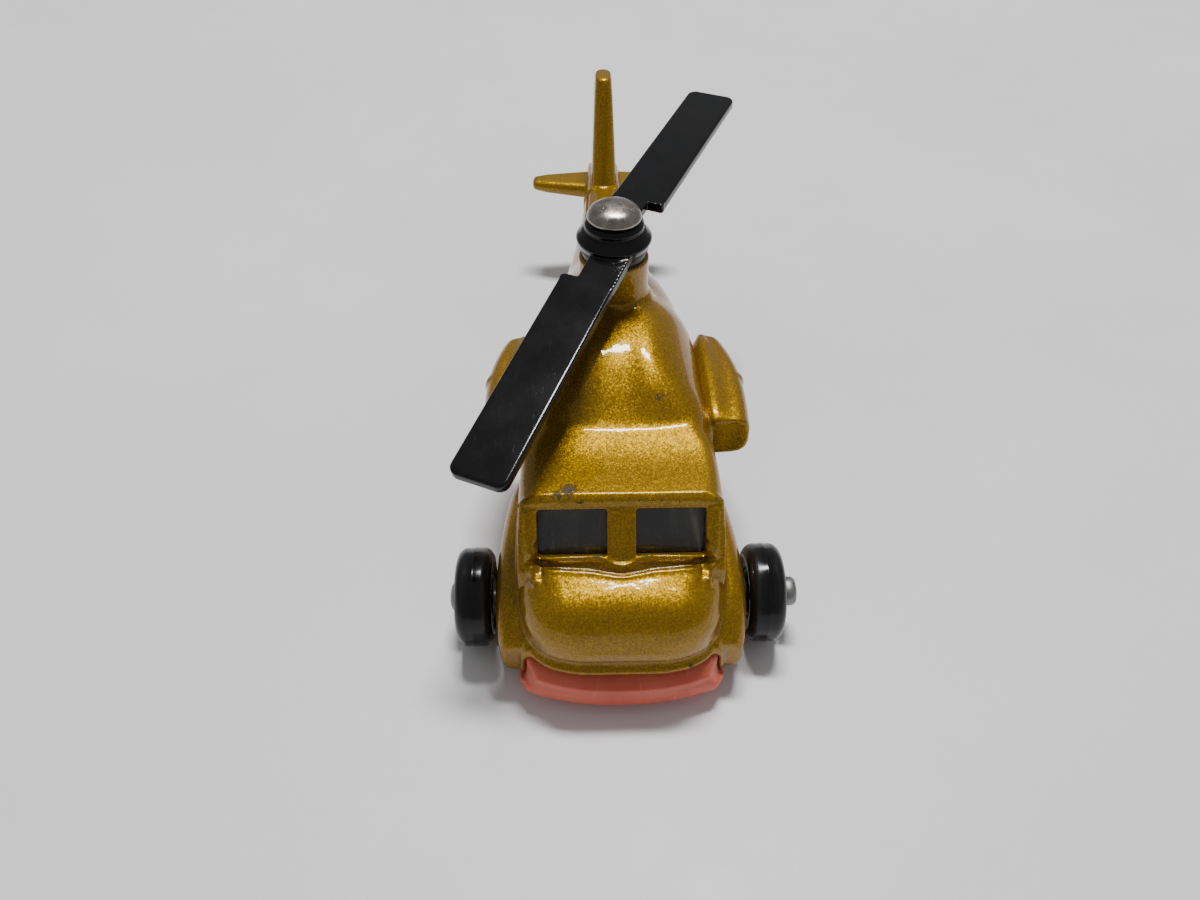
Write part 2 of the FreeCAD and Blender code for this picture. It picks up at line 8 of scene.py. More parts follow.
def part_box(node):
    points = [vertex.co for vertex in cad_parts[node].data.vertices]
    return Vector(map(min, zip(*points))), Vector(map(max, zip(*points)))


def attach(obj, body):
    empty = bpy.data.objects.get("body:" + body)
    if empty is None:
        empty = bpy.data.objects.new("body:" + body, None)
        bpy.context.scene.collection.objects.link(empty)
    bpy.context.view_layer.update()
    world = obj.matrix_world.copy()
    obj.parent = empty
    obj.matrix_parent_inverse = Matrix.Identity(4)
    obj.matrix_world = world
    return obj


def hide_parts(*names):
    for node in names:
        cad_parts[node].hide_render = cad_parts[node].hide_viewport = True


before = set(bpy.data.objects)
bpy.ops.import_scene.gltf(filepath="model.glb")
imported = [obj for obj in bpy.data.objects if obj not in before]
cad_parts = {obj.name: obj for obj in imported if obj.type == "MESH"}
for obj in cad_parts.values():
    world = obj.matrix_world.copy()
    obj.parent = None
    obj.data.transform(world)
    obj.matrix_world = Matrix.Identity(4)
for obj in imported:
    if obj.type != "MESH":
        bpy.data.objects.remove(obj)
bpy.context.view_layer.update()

MM = 0.001
WELD = 0.002          # millimetres between vertices that count as one
TAUBIN = (0.55, -0.57)  # shrinking and growing share of one smoothing round

# Where paint is chipped: wear plus ragged noise, against the value at which each stage starts and is full.
RAGGED_SHARE = 1.3
CHIP_EDGE = (1.31, 1.36)
RIM_EDGE = (1.25, 1.32)
SPOT_REACH = 1.35     # a worn spot fades out at this many times its size


# ---- materials ---------------------------------------------------------------------------------

class Finish:
    """A procedural material, built from nodes by short calls."""

    def __init__(self, name, **constants):
        self.material = bpy.data.materials.new(name)
        self.material.use_nodes = True
        self.tree = self.material.node_tree
        self.shader = self.tree.nodes["Principled BSDF"]
        for socket, value in constants.items():
            self.shader.inputs[socket.replace("_", " ")].default_value = value
        self.point = self.add("ShaderNodeTexCoord").outputs["Object"]

    def add(self, kind, **settings):
        node = self.tree.nodes.new(kind)
        for key, value in settings.items():
            setattr(node, key, value)
        return node

    def feed(self, socket, value):
        if isinstance(value, bpy.types.NodeSocket):
            self.tree.links.new(value, socket)
        else:
            socket.default_value = value

    def noise(self, size, detail=3.0, roughness=0.55, stretch=None):
        """Cloudy noise whose features are about size millimetres across."""
        node = self.add("ShaderNodeTexNoise")
        point = self.vector("MULTIPLY", self.point, stretch) if stretch else self.point
        self.feed(node.inputs["Vector"], point)
        node.inputs["Scale"].default_value = 1 / (size * MM)
        node.inputs["Detail"].default_value = detail
        node.inputs["Roughness"].default_value = roughness
        return node.outputs["Fac"]

    def cells(self, size):
        """A random colour for each cell of about size millimetres."""
        node = self.add("ShaderNodeTexVoronoi")
        self.feed(node.inputs["Vector"], self.point)
        node.inputs["Scale"].default_value = 1 / (size * MM)
        return node.outputs["Color"]

    def mask(self, name):
        """A per-vertex value stored on the mesh."""
        return self.add("ShaderNodeAttribute", attribute_name=name).outputs["Fac"]

    def ramp(self, value, low, high, start=0.0, end=1.0):
        """Maps low..high to start..end, held at both ends."""
        node = self.add("ShaderNodeMapRange", interpolation_type="SMOOTHSTEP")
        for index, part in enumerate((value, low, high, start, end)):
            self.feed(node.inputs[index], part)
        return node.outputs[0]

    def calc(self, operation, first, second=0.0):
        node = self.add("ShaderNodeMath", operation=operation)
        self.feed(node.inputs[0], first)
        self.feed(node.inputs[1], second)
        return node.outputs[0]

    def vector(self, operation, first, second, third=None):
        """Vector arithmetic; second is a constant."""
        node = self.add("ShaderNodeVectorMath", operation=operation)
        self.feed(node.inputs[0], first)
        node.inputs[1].default_value = second
        if third:
            self.feed(node.inputs[2], third)
        return node.outputs[0]

    def blend(self, factor, first, second):
        node = self.add("ShaderNodeMix", data_type="RGBA")
        self.feed(node.inputs["Factor"], factor)
        for socket, value in ((node.inputs[6], first), (node.inputs[7], second)):
            self.feed(socket, (*value, 1.0) if isinstance(value, tuple) else value)
        return node.outputs[2]

    def bump(self, height, depth, under=None):
        """A surface relief of depth millimetres."""
        node = self.add("ShaderNodeBump")
        node.inputs["Distance"].default_value = depth * MM
        self.feed(node.inputs["Height"], height)
        if under:
            self.feed(node.inputs["Normal"], under)
        return node.outputs["Normal"]

    def drive(self, **sockets):
        """Links or sets sockets of the shader, with _ for each space in their names."""
        for socket, value in sockets.items():
            self.feed(self.shader.inputs[socket.replace("_", " ")], value)


def gold_enamel():
    """Glossy mustard-gold metallic paint over grey zinc, chipped along its edges."""
    shade, light, fleck = (0.176, 0.091, 0.0001), (0.212, 0.112, 0.0001), (0.40, 0.228, 0.0004)
    dark_zinc, bright_zinc = (0.035, 0.030, 0.022), (0.12, 0.11, 0.09)
    # thin_paint is the paint worn thin round chips; the second colour is painted shade for the hollows
    thin_paint, hollow_shade_colour = (0.16, 0.10, 0.015), (0.05, 0.032, 0.010)
    f = Finish("gold_enamel", Coat_Roughness=0.06, Coat_IOR=1.36, IOR=1.40,
               Specular_Tint=(0.85, 0.5, 0.05, 1))
    clouds = f.noise(9.0, 2.0)
    flake = f.noise(0.16, 2.0, 0.7)
    paint = f.blend(f.ramp(clouds, 0.3, 0.7), shade, light)
    paint = f.blend(f.ramp(flake, 0.34, 0.76), paint, fleck)
    ragged = f.noise(0.30, 4.0, 0.70)
    worn = f.calc("ADD", f.mask("wear"), f.calc("MULTIPLY", ragged, RAGGED_SHARE))
    chipped, rim = f.ramp(worn, *CHIP_EDGE), f.ramp(worn, *RIM_EDGE)
    zinc = f.blend(f.noise(0.5, 4.0), dark_zinc, bright_zinc)
    paint = f.blend(rim, paint, thin_paint)
    # painted shade: the hollows are darkened towards a dark brown
    paint = f.blend(f.mask("hollow_shade"), paint, hollow_shade_colour)
    f.drive(Base_Color=f.blend(chipped, paint, zinc),
            Metallic=f.calc("ADD", 0.38, f.calc("MULTIPLY", flake, 0.42)),
            Roughness=f.ramp(f.calc("ADD", f.calc("MULTIPLY", flake, 0.3), chipped), 0, 1, 0.38, 0.64),
            Coat_Weight=f.ramp(chipped, 0, 1, 1.0, 0.0))
    tilt = 0.20  # how far each flake leans from the surface, with its colour as a random direction
    normal = f.add("ShaderNodeNewGeometry").outputs["Normal"]
    centred = f.vector("SUBTRACT", normal, (tilt / 2,) * 3)
    leaning = f.vector("MULTIPLY_ADD", f.cells(0.11), (tilt,) * 3, centred)
    unit = f.add("ShaderNodeVectorMath", operation="NORMALIZE")
    f.feed(unit.inputs[0], leaning)
    painted, step = f.calc("SUBTRACT", 1.0, rim), 0.05
    orange_peel = f.bump(f.noise(0.9, 2.0), 0.018)
    f.drive(Normal=f.bump(painted, step, unit.outputs[0]), Coat_Normal=f.bump(painted, step, orange_peel))
    return f.material


def orange_plastic():
    """Satin salmon-orange moulded plastic, a little translucent at its thin corners."""
    deep, pale, rubbed = (0.60, 0.095, 0.048), (0.72, 0.155, 0.085), (0.80, 0.10, 0.035)
    # scratched is the colour of the scratches; the second colour, a darker orange, is painted shade for the
    # hollows
    scratched, hollow_shade_colour = (0.86, 0.36, 0.26), (0.16, 0.035, 0.02)
    f = Finish("orange_plastic", Subsurface_Radius=(0.9 * MM, 0.35 * MM, 0.2 * MM), Subsurface_Weight=0.25,
               Subsurface_Scale=0.6, Coat_Roughness=0.25, IOR=1.5)
    clouds = f.noise(6.0, 3.0)
    grain = f.noise(0.22, 3.0)
    colour = f.blend(f.ramp(clouds, 0.3, 0.7), deep, pale)
    colour = f.blend(f.mask("wear"), colour, rubbed)
    scratches = f.ramp(f.noise(0.5, 2.0, 0.5, (1.0, 0.06, 0.3)), 0.66, 0.72)
    colour = f.blend(f.calc("MULTIPLY", scratches, 0.14), colour, scratched)
    # painted shade: darker orange in the hollows
    f.drive(Base_Color=f.blend(f.mask("hollow_shade"), colour, hollow_shade_colour),
            Roughness=f.ramp(f.noise(1.4, 4.0), 0.2, 0.8, 0.30, 0.48),
            Normal=f.bump(grain, 0.012, f.bump(scratches, 0.01)))
    return f.material


def black_plastic(name, low, high, relief, scratch_stretch):
    """Black moulded plastic with fine scuffs, rougher along its worn edges."""
    deep, pale = (0.003, 0.003, 0.0032), (0.005, 0.005, 0.0053)
    scuffed, dusty, rubbed = (0.07, 0.07, 0.07), (0.20, 0.19, 0.18), (0.055, 0.053, 0.05)
    f = Finish(name, IOR=1.37)
    clouds = f.noise(3.5, 4.0)
    scuffs = f.ramp(f.noise(0.35, 3.0, 0.6, scratch_stretch), 0.60, 0.70)
    dust = f.ramp(f.noise(0.12, 2.0), 0.66, 0.74)
    colour = f.blend(f.ramp(clouds, 0.3, 0.7), deep, pale)
    colour = f.blend(f.calc("MULTIPLY", scuffs, 0.04), colour, scuffed)
    colour = f.blend(f.calc("MULTIPLY", dust, 0.06), colour, dusty)
    colour = f.blend(f.calc("MULTIPLY", f.mask("wear"), 0.35), colour, rubbed)
    worn = f.calc("MULTIPLY", f.mask("wear"), 0.30)
    f.drive(Base_Color=colour,
            Roughness=f.calc("ADD", f.ramp(clouds, 0.25, 0.75, low, high), worn),
            Normal=f.bump(f.noise(0.3, 3.0), relief, f.bump(scuffs, -0.0015)))
    return f.material


def worn_metal(name, dark, light, metallic, low, high, stretch, relief):
    """Bare or plated metal with fine scratches and dull patches."""
    # pitted is the colour of the pits; the second colour, a quarter of the dark tone, is painted shade for
    # the hollows
    pitted, hollow_shade_colour = tuple(0.35 * part for part in dark), tuple(0.25 * part for part in dark)
    f = Finish(name)
    clouds = f.noise(1.3, 4.0)
    scratches = f.noise(0.2, 3.0, 0.6, stretch)
    pits = f.ramp(f.noise(0.22, 3.0), 0.62, 0.70)
    colour = f.blend(f.ramp(clouds, 0.3, 0.7), dark, light)
    colour = f.blend(f.calc("MULTIPLY", pits, 0.5), colour, pitted)
    # painted shade: the metal is darker in the hollows
    colour = f.blend(f.mask("hollow_shade"), colour, hollow_shade_colour)
    rough = f.ramp(f.calc("ADD", clouds, f.calc("MULTIPLY", scratches, 0.4)), 0.4, 1.0, low, high)
    f.drive(Base_Color=colour, Metallic=f.ramp(pits, 0, 1, metallic, metallic * 0.6), Roughness=rough,
            Normal=f.bump(scratches, relief, f.bump(pits, -relief)))
    return f.material


def smoked_glazing():
    """Smoke-grey clear plastic with moulding waves and light scratches."""
    deep, pale, hazy = (0.22, 0.21, 0.20), (0.32, 0.31, 0.29), (0.22, 0.215, 0.21)
    f = Finish("smoked_glazing", IOR=1.5, Coat_Weight=0.4, Coat_Roughness=0.08)
    clouds = f.noise(2.6, 3.0)
    haze = f.ramp(f.noise(0.5, 3.0, 0.6, (1.0, 0.3, 0.12)), 0.55, 0.75)
    colour = f.blend(f.ramp(clouds, 0.3, 0.7), deep, pale)
    f.drive(Base_Color=f.blend(f.calc("MULTIPLY", haze, 0.25), colour, hazy),
            Transmission_Weight=f.ramp(haze, 0, 1, 0.86, 0.62),
            Roughness=f.ramp(haze, 0, 1, 0.10, 0.26),
            Normal=f.bump(f.noise(1.6, 2.0), 0.02))
    return f.material


def plain_finish(name, ior, patch, colours, rough_size, rough, grain, depth, span=(0.3, 0.7)):
    """A plain grained surface whose colour drifts over patches and whose roughness varies."""
    f = Finish(name, IOR=ior)
    f.drive(Base_Color=f.blend(f.ramp(f.noise(patch, 3.0), *span), *colours),
            Roughness=f.ramp(f.noise(rough_size, 3.0), 0.2, 0.8, *rough),
            Normal=f.bump(f.noise(grain, 3.0), depth))
    return f.material


def cabin_plastic():
    """The grey plastic of the seats and floor, dark behind the smoked glazing."""
    colours = ((0.30, 0.285, 0.26), (0.44, 0.42, 0.39))
    return plain_finish("cabin_plastic", 1.48, 2.0, colours, 0.6, (0.42, 0.62), 0.25, 0.015)


def table_top():
    """A plain pale table."""
    colours = ((0.80, 0.79, 0.80), (0.85, 0.84, 0.85))
    return plain_finish("table_top", 1.45, 60.0, colours, 8.0, (0.42, 0.55), 1.2, 0.03, (0.25, 0.75))


GOLD = gold_enamel()
ORANGE = orange_plastic()
ROTOR_BLACK = black_plastic("rotor_plastic", 0.11, 0.15, 0.002, (1.0, 0.25, 1.0))
WHEEL_BLACK = black_plastic("wheel_plastic", 0.10, 0.20, 0.003, (0.25, 1.0, 1.0))
NICKEL = worn_metal("nickel", (0.28, 0.24, 0.205), (0.43, 0.38, 0.33), 1.0, 0.16, 0.34,
                    (1.0, 0.3, 1.0), 0.006)
STEEL = worn_metal("axle_steel", (0.16, 0.16, 0.155), (0.30, 0.30, 0.29), 0.9, 0.34, 0.55,
                   (0.3, 1.0, 1.0), 0.01)
GLASS = smoked_glazing()
CABIN = cabin_plastic()


# ---- mesh tools --------------------------------------------------------------------------------

def node_mesh(name):
    """A copy of a CAD node's mesh, in its own coordinates, welded."""
    bm = bmesh.new()
    bm.from_mesh(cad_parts[name].data)
    bmesh.ops.remove_doubles(bm, verts=bm.verts, dist=WELD * MM)
    return bm


def new_object(name, bm, material):
    """Turns a bmesh into a smooth-shaded object with one material."""
    mesh = bpy.data.meshes.new(name)
    bm.normal_update()
    bm.to_mesh(mesh)
    bm.free()
    for face in mesh.polygons:
        face.use_smooth = True
    mesh.materials.append(material)
    item = bpy.data.objects.new(name, mesh)
    bpy.context.scene.collection.objects.link(item)
    return item


def applied(item, **modifiers):
    """Adds modifiers given as kind=settings, applies them and keeps one mesh."""
    for kind, settings in modifiers.items():
        modifier = item.modifiers.new(kind, kind.upper())
        for key, value in settings.items():
            setattr(modifier, key, value)
    graph = bpy.context.evaluated_depsgraph_get()
    mesh = bpy.data.meshes.new_from_object(item.evaluated_get(graph))
    item.modifiers.clear()
    old = item.data
    item.data = mesh
    bpy.data.meshes.remove(old)
    for face in mesh.polygons:
        face.use_smooth = True
    return item


def positions(mesh):
    """Vertex positions, one row each."""
    flat = np.empty(len(mesh.vertices) * 3)
    mesh.vertices.foreach_get("co", flat)
    return flat.reshape(-1, 3)


def normals(mesh):
    """Vertex normals, one row each."""
    flat = np.empty(len(mesh.vertices) * 3)
    mesh.vertices.foreach_get("normal", flat)
    return flat.reshape(-1, 3)


def set_positions(mesh, points):
    mesh.vertices.foreach_set("co", points.ravel())
    mesh.update()


def edge_pairs(mesh):
    """The two vertex numbers of each edge."""
    flat = np.empty(len(mesh.edges) * 2, dtype=np.int64)
    mesh.edges.foreach_get("vertices", flat)
    return flat.reshape(-1, 2)


def relaxed(values, pairs, rounds, share=0.5):
    """Spreads per-vertex values to their neighbours, a few rounds."""
    values = values.copy()
    degree = np.maximum(np.bincount(pairs.ravel(), minlength=len(values)).astype(float), 1)
    columns = values.reshape(len(values), -1)
    for _ in range(rounds):
        total = np.zeros_like(columns)
        for column in range(columns.shape[1]):
            for here, there in ((0, 1), (1, 0)):
                total[:, column] += np.bincount(pairs[:, here], columns[pairs[:, there], column],
                                                len(columns))
        columns = columns + share * (total / degree[:, None] - columns)
    return columns.reshape(values.shape)


def smoothed(mesh, rounds):
    """Taubin smoothing, which keeps the volume."""
    pairs = edge_pairs(mesh)
    points = positions(mesh)
    for _ in range(rounds):
        for share in TAUBIN:
            points = relaxed(points, pairs, 1, share)
    set_positions(mesh, points)


def store(mesh, name, values):
    """Keeps values from 0 to 1 on the vertices, for the materials to read."""
    attribute = mesh.attributes.new(name, "FLOAT", "POINT")
    attribute.data.foreach_set("value", np.clip(values, 0, 1).astype(np.float32))


def relief(mesh, rounds=14):
    """How far each vertex stands out of its surroundings, in millimetres: ridges above 0."""
    points = positions(mesh)
    around = relaxed(points, edge_pairs(mesh), rounds)
    return ((points - around) * normals(mesh)).sum(axis=1) / MM


def finish_wear(mesh, edge_low, edge_high, spots=(), dips=(-0.03, -0.12)):
    """Stores where a piece is worn, along its ridges and at named spots, and a painted-shade mask that
    darkens its hollows.
    """
    height = relief(mesh)
    wear = np.clip((height - edge_low) / (edge_high - edge_low), 0, 1)
    points = positions(mesh) / MM
    for x, y, z, size, strength in spots:
        distance = np.linalg.norm(points - (x, y, z), axis=1)
        wear = np.maximum(wear, strength * np.clip(SPOT_REACH - distance / size, 0, 1))
    store(mesh, "wear", wear)
    # painted shade: up to 0.7 in the hollows, deepest where a vertex sits furthest below its surroundings
    store(mesh, "hollow_shade", 0.7 * np.clip((height - dips[0]) / (dips[1] - dips[0]), 0, 1))


def finished(item, body, node):
    """Declares which body a piece rides on and the CAD node it stands in for."""
    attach(item, body)
    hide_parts(node)
    return item


def remeshed(name, node, material, voxel, rounds):
    """A CAD node's shape, evenly and finely meshed, with its edges smoothed a few rounds."""
    item = new_object(name, node_mesh(node), material)
    applied(item, remesh={"mode": "VOXEL", "voxel_size": voxel * MM, "use_smooth_shade": True})
    smoothed(item.data, rounds)
    return item


# ---- pieces ------------------------------------------------------------------------------------

class Sculpt:
    """Raises and lowers a fine mesh along lines and in regions, all in millimetres."""

    REACH = 3

    def __init__(self, item):
        self.item = item
        self.start = positions(item.data) / MM
        self.facing = normals(item.data)
        self.change = np.zeros_like(self.start)

    def distance(self, line):
        """Each vertex's distance from a polyline, and how far along it the nearest point is.

        Vertices more than REACH outside the line's box count as far away.
        """
        best = np.full(len(self.start), 1e9)
        along = np.zeros(len(self.start))
        line = np.array(line, dtype=float)
        lengths = np.linalg.norm(np.diff(line, axis=0), axis=1)
        passed = np.concatenate([[0], np.cumsum(lengths)]) / lengths.sum()
        inside = (self.start > line.min(axis=0) - self.REACH) & (self.start < line.max(axis=0) + self.REACH)
        near = np.where(inside.all(axis=1))[0]
        points = self.start[near]
        for index, (a, b) in enumerate(zip(line, line[1:])):
            share = np.clip(((points - a) @ (b - a)) / ((b - a) @ (b - a)), 0, 1)
            gap = np.linalg.norm(points - (a + share[:, None] * (b - a)), axis=1)
            closer = gap < best[near]
            best[near[closer]] = gap[closer]
            along[near[closer]] = (passed[index] + share * (passed[index + 1] - passed[index]))[closer]
        return best, along

    def ridge(self, line, height, width, fade=0.0):
        """Lifts a rounded ridge, or sinks a groove where height is below 0, along a smooth line.

        Its ends taper off over the share of the line given as fade.
        """
        gap, along = self.distance(smooth_line(line))
        lift = height * np.exp(-(gap / width) ** 2)
        if fade:
            lift *= np.clip(np.minimum(along, 1 - along) / fade, 0, 1)
        self.swell(lift)

    def swell(self, amount):
        """Moves each vertex outwards by its own amount."""
        self.change += amount[:, None] * self.facing

    def shift(self, amount, direction):
        """Moves each vertex by its own amount in one direction."""
        self.change += amount[:, None] * np.array(direction, dtype=float)

    def soften(self, mask, rounds):
        """Smooths the mesh where mask is 1."""
        pairs = edge_pairs(self.item.data)
        points = self.start + self.change
        share = np.clip(mask, 0, 1)[:, None]
        for _ in range(rounds):
            points += share * (relaxed(points, pairs, 1, 0.5) - points)
        self.change = points - self.start

    def apply(self):
        """Writes the sculpted shape to the mesh."""
        set_positions(self.item.data, (self.start + self.change) * MM)


def smooth_line(points, steps=8):
    """A Catmull-Rom line through the points."""
    points = [np.array(p, dtype=float) for p in points]
    points = [2 * points[0] - points[1]] + points + [2 * points[-1] - points[-2]]
    line = []
    for p0, p1, p2, p3 in zip(points, points[1:], points[2:], points[3:]):
        for step in range(steps):
            t = step / steps
            line.append(0.5 * (2 * p1 + (p2 - p0) * t + (2 * p0 - 5 * p1 + 4 * p2 - p3) * t ** 2
                               + (3 * p1 - p0 - 3 * p2 + p3) * t ** 3))
    line.append(points[-2])
    return line


def mirrored(line):
    """A line given from its -X end to the middle, carried on to the +X side."""
    return line + [(-x, y, z) for x, y, z in reversed(line) if abs(x) > 0.01]


def hump(value, low, high, soft):
    """1 between low and high, falling to 0 over soft on both sides."""
    rise = np.clip((value - low) / soft + 1, 0, 1)
    fall = np.clip((high - value) / soft + 1, 0, 1)
    level = np.minimum(rise, fall)
    return level * level * (3 - 2 * level)


def moved(line, x=0.0, y=0.0, z=0.0):
    return [(px + x, py + y, pz + z) for px, py, pz in line]


# Lines on the casting, in millimetres.
MOUSTACHE = mirrored([(-7.6, -30.45, 12.15), (-5.1, -30.78, 12.0), (-2.65, -30.95, 11.95),
                      (-1.3, -31.2, 11.92), (0.0, -31.42, 11.9)])
LEDGE = mirrored([(-7.3, -29.95, 13.0), (-5.0, -30.1, 12.75), (-2.6, -30.2, 12.6), (-1.3, -30.5, 12.3),
                  (0.0, -30.9, 12.1)])
CHIN = mirrored([(-7.75, -34.2, 5.35), (-7.0, -35.1, 5.35), (-5.6, -36.0, 5.4), (-3.2, -36.5, 5.4),
                 (0.0, -36.65, 5.4)])
BROW = mirrored([(-8.6, -27.6, 16.2), (-7.0, -27.75, 16.6), (-4.0, -27.75, 16.7), (0.0, -27.75, 16.7)])
FRAME_LINE = [(7.75, -27.9, 16.2), (7.72, -28.8, 14.9), (7.70, -29.7, 13.5), (7.60, -30.6, 12.2),
              (7.35, -31.4, 11.5), (7.05, -32.3, 11.3)]
STEP_LINE = mirrored([(-8.6, -18.9, 16.6), (-7.1, -19.3, 18.0), (-4.0, -19.9, 18.3), (0.0, -20.2, 18.3)])
# Chips seen in the photo: where, how large, how bare.
CHIPS = [(-4.3, -26.9, 17.0, 1.15, 0.76), (-5.2, -27.4, 16.9, 0.95, 0.70), (3.7, -17.4, 18.7, 0.9, 0.66),
         (0.7, -35.0, 9.7, 0.42, 0.60), (6.7, -35.0, 8.8, 0.5, 0.60), (5.6, -36.2, 5.6, 0.6, 0.7),
         (6.4, -35.6, 5.5, 0.45, 0.7), (-2.1, -18.3, 18.7, 0.8, 0.40), (-1.4, -18.0, 18.8, 0.6, 0.42),
         (-8.3, -27.5, 16.1, 0.8, 0.7), (8.4, -27.5, 16.1, 0.6, 0.65)]
CHIP_CHANCE = 0.45    # share of the points of a line that carry a chip


def edge_chips(line, step, size, strength, seed):
    """Small chips at uneven places along a line."""
    rng = np.random.default_rng(seed)
    points = smooth_line(line, step)
    picked = [p for p in points if rng.random() < CHIP_CHANCE]
    return [(*(p + rng.normal(0, 0.10, 3)), size * rng.uniform(0.5, 1.3),
             strength * rng.uniform(0.85, 1.1)) for p in picked]


def raised_lines(work):
    """The casting's beads and grooves, each with its height, its width and how much of its ends tapers."""
    for line, height, width, fade in (
            (MOUSTACHE, -0.42, 0.34, 0.0),
            (moved(MOUSTACHE, y=-0.42, z=-0.06), 0.20, 0.26, 0.0),
            (LEDGE, 0.22, 0.30, 0.0),
            (CHIN, 0.34, 0.36, 0.03),
            (moved(CHIN, y=-0.1, z=0.85), -0.20, 0.34, 0.04),
            (BROW, 0.20, 0.40, 0.0)):
        work.ridge(line, height, width, fade)
    for side in (-1, 1):
        frame_line = [(side * px, py, pz) for px, py, pz in FRAME_LINE]
        work.ridge(frame_line, 0.30, 0.40, 0.06)
        work.ridge(moved(frame_line[2:], x=-0.75 * side, z=-0.1), -0.22, 0.30)
    work.ridge(STEP_LINE, -0.26, 0.9)
    work.ridge(moved(STEP_LINE, y=-0.75), 0.03, 0.5)


def make_casting():
    """The gold casting: the CAD shape remeshed fine, softened and given its raised lines."""
    item = remeshed("casting_shell", "body_casting", GOLD, 0.15, 4)
    work = Sculpt(item)
    raised_lines(work)
    x, y, z = work.start.T
    side = np.abs(x)
    up = np.clip(work.facing[:, 2], 0, 1)

    crown = up * hump(y, -16.5, -8.0, 3.0) * np.clip(1 - (x / 6.5) ** 2, 0, 1) * (z > 17)
    work.shift(0.30 * crown, (0, 0, 1))
    cheek = up * hump(y, -36.0, -33.0, 1.5) * np.clip((x / 8.0) ** 2, 0, 1) * (z > 9)
    work.shift(-0.35 * cheek, (0, 0, 1))
    shoulder = hump(y, -16.0, -7.5, 4.0) * hump(z, 14.5, 20.0, 3.0) * hump(side, 3.0, 8.6, 2.0)
    work.swell(0.50 * shoulder)
    tail = y > 28
    work.swell(0.22 * hump(side, 1.6, 12.0, 0.8) * tail)
    pod = np.clip((side - 8.4) / 2.0, 0, 1) * (z > 11.5) * (y > -19) * (y < -3)
    swept = np.clip((y + 14.0) / 9.0, 0, 1) ** 2.2
    work.shift(-np.sign(x) * 1.2 * pod * swept, (1, 0, 0))

    roof = hump(y, -17.0, -1.0, 2.5) * hump(z, 15.0, 20.3, 2.0) * (side < 8.6) * (1 - pod)
    fin_top = np.clip((z - 23.0) / 1.5, 0, 1)
    tailplane_tips = np.clip((side - 7.4) / 1.0, 0, 1)
    work.soften(roof, 60)
    work.soften(np.maximum(tail * fin_top, tail * tailplane_tips), 24)
    work.soften(pod * 0.8, 12)
    work.apply()
    smoothed(item.data, 2)
    chips = CHIPS + edge_chips(BROW, 14, 0.30, 0.70, 3) + edge_chips(CHIN, 3, 0.25, 0.52, 8)
    finish_wear(item.data, 0.075, 0.16, chips)
    return finished(item, "airframe", "body_casting")


def make_soft_copy(name, node, material, body, voxel, wear):
    """A CAD node's shape with its edges softened, finely meshed."""
    item = remeshed(name, node, material, voxel, 2)
    finish_wear(item.data, *wear)
    return finished(item, body, node)


def make_base():
    """The plastic base, its prow bowed forward in the middle with a lip that flares at both ends."""
    item = remeshed("base_pan", "base_plate", ORANGE, 0.16, 2)
    work = Sculpt(item)
    x, y, z = work.start.T
    side = np.abs(x)
    ahead = np.clip((-34.4 - y) / 2.2, 0, 1)
    end = np.clip(side / 7.8, 0, 1) ** 2.5
    lip = ahead * np.clip((side - 4.5) / 3.0, 0, 1) * np.clip((3.3 - z) / 1.2, 0, 1)
    bow, ends_back, ends_up, flare = 0.35, 1.25, 0.50, 0.60
    work.shift(ahead * (ends_back * end - bow), (0, 1, 0))
    work.shift(ahead * ends_up * end, (0, 0, 1))
    work.shift(flare * lip * np.sign(x), (1, 0, 0))
    work.apply()
    finish_wear(item.data, 0.04, 0.12)
    return finished(item, "airframe", "base_plate")


def lathe(name, profile, centre, axis, material, segments=96):
    """A closed turned solid: profile is (radius, height) pairs from one end of its axis to the other."""
    bm = bmesh.new()
    turn = {"X": Matrix.Rotation(math.pi / 2, 4, "Y"), "Z": Matrix.Identity(4)}[axis]
    rings = []
    for radius, height in profile:
        if radius == 0:
            rings.append([bm.verts.new((0, 0, height * MM))])
            continue
        angles = [2 * math.pi * k / segments for k in range(segments)]
        rings.append([bm.verts.new((radius * MM * math.cos(a), radius * MM * math.sin(a), height * MM))
                      for a in angles])
    for low, high in zip(rings, rings[1:]):
        for k in range(segments):
            nxt = (k + 1) % segments
            corners = [low[k % len(low)], low[nxt % len(low)], high[nxt % len(high)], high[k % len(high)]]
            unique = list(dict.fromkeys(corners))
            if len(unique) > 2:
                bm.faces.new(unique)
    bmesh.ops.recalc_face_normals(bm, faces=bm.faces)
    bm.transform(Matrix.Translation(centre) @ turn)
    return new_object(name, bm, material)


def arc(centre, radius, start, end, steps=8):
    """Points of an arc in a profile, by angles in degrees from the radius axis."""
    return [(centre[0] + radius * math.cos(math.radians(start + (end - start) * k / steps)),
             centre[1] + radius * math.sin(math.radians(start + (end - start) * k / steps)))
            for k in range(steps + 1)]


def middle(node):
    """The middle of a CAD node's box."""
    low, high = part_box(node)
    return (Vector(low) + Vector(high)) / 2


def rounded_gap(first, second, radius):
    """Distance outside a corner of that radius, from how far a point is past each of its two sides."""
    first, second = first + radius, second + radius
    outside = np.hypot(np.maximum(first, 0), np.maximum(second, 0))
    return outside + np.minimum(np.maximum(first, second), 0) - radius


def blade_gap(points, half=2.55, start=5.8, tip=27.9, thick=0.95, corner=0.9, fillet=0.22):
    """How far points in a blade's own axes stand out of its outline, which has rounded edges."""
    x, y, z = points.T
    along = np.abs(y - (start + tip) / 2) - (tip - start) / 2
    plan = rounded_gap(np.abs(x) - half, along, corner)
    return rounded_gap(plan, np.abs(z - thick / 2) - thick / 2, fillet)


